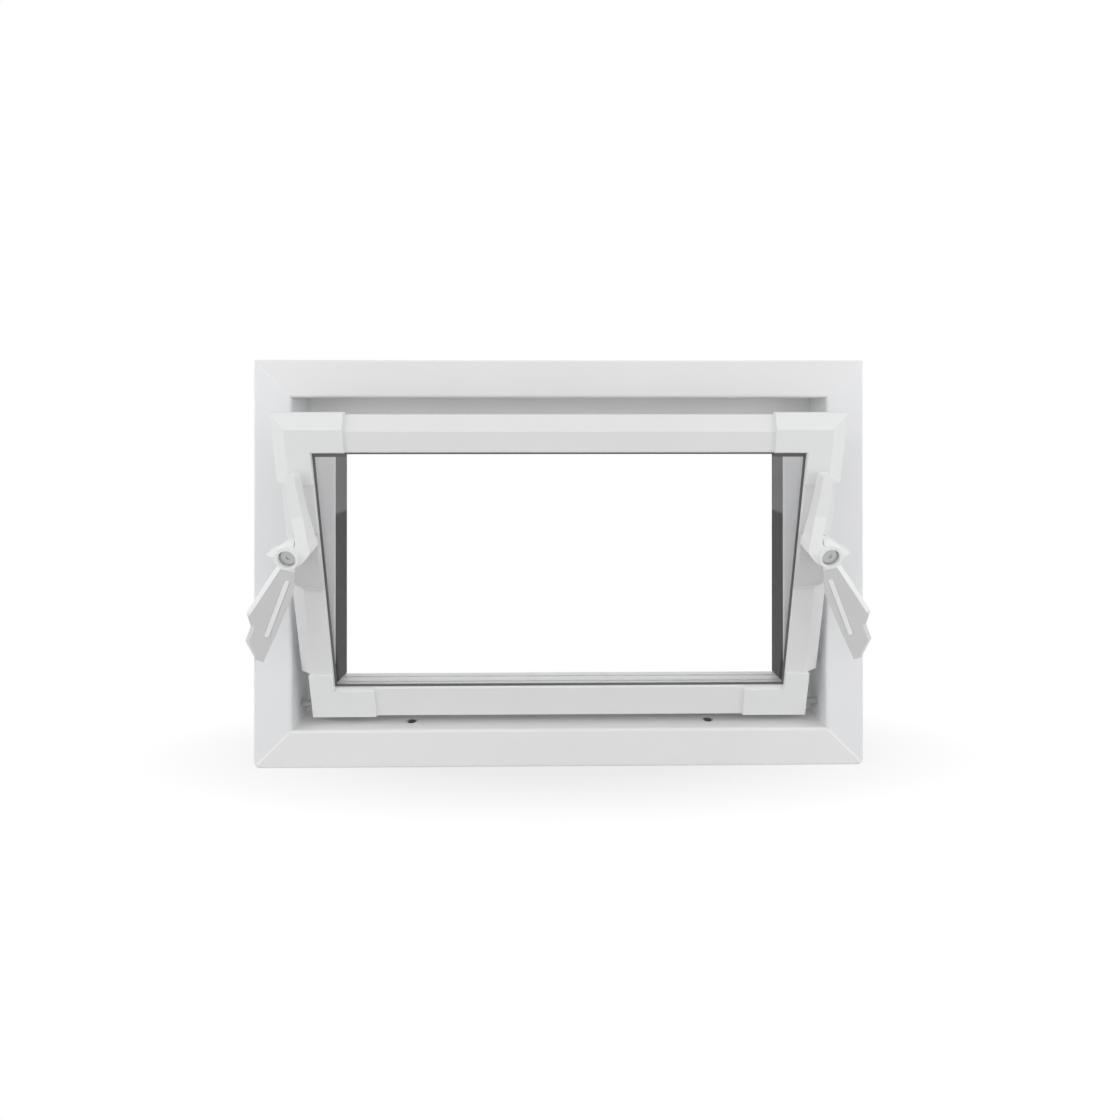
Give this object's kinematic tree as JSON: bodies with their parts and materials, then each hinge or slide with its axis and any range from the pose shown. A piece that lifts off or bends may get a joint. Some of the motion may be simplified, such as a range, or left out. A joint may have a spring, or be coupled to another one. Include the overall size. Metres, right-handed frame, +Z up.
{
  "type": "caravan_window",
  "caption": "White tilting window for a caravan or camper: mitred frame with a bottom hinged, glazed sash leaning into the room, and a notched stay lever with a grip on each side.",
  "frame": {"origin": "centre of the underside of the frame", "axes": "+Z up, +X to the right as seen from inside the room, -Y towards the room, the side that the sash tilts to"},
  "size_m": [0.6, 0.1383, 0.4],
  "materials": {
    "white_profile": "satin white extruded plastic",
    "moulded_white": "satin white moulded plastic",
    "dark_seal": "matt",
    "window_glass": "clear",
    "steel": "plated"
  },
  "bodies": {
    "frame": {"frame_bottom_rail": "white_profile", "frame_top_rail": "white_profile", "frame_left_jamb": "white_profile", "frame_right_jamb": "white_profile", "hinge_bush_left": "moulded_white", "hinge_bush_right": "moulded_white"},
    "sash": {"sash_bottom_rail": "white_profile", "sash_top_rail": "white_profile", "sash_left_stile": "white_profile", "sash_right_stile": "white_profile", "corner_top_left": "moulded_white", "corner_top_right": "moulded_white", "corner_bottom_left": "moulded_white", "corner_bottom_right": "moulded_white", "hinge_pin_left": "steel", "hinge_pin_right": "steel", "sash_seal": "dark_seal", "glass_pane": "window_glass", "gasket_room_side": "dark_seal", "gasket_outside": "dark_seal", "bead_bottom": "white_profile", "bead_top": "white_profile", "bead_left": "white_profile", "bead_right": "white_profile", "lever_base_left": "moulded_white", "lever_base_right": "moulded_white", "lever_screw_left": "steel", "lever_screw_right": "steel"},
    "lever_arm_left": {"lever_left": "moulded_white"},
    "lever_arm_right": {"lever_right": "moulded_white"}
  },
  "joints": [
    {"name": "sash_tilt", "type": "hinge", "parent": "frame", "child": "sash", "pos_m": [0, -0.011, 0.0532], "axis": [1, 0, 0], "range_deg": [-13.8, 0]},
    {"name": "lever_left_turn", "type": "hinge", "parent": "sash", "child": "lever_arm_left", "pos_m": [-0.242, -0.06622, 0.22478], "axis": [0, 0.9711, 0.2385], "range_deg": [0, 25]},
    {"name": "lever_right_turn", "type": "hinge", "parent": "sash", "child": "lever_arm_right", "pos_m": [0.242, -0.06622, 0.22478], "axis": [0, -0.9711, -0.2385], "range_deg": [0, 25]}
  ]
}
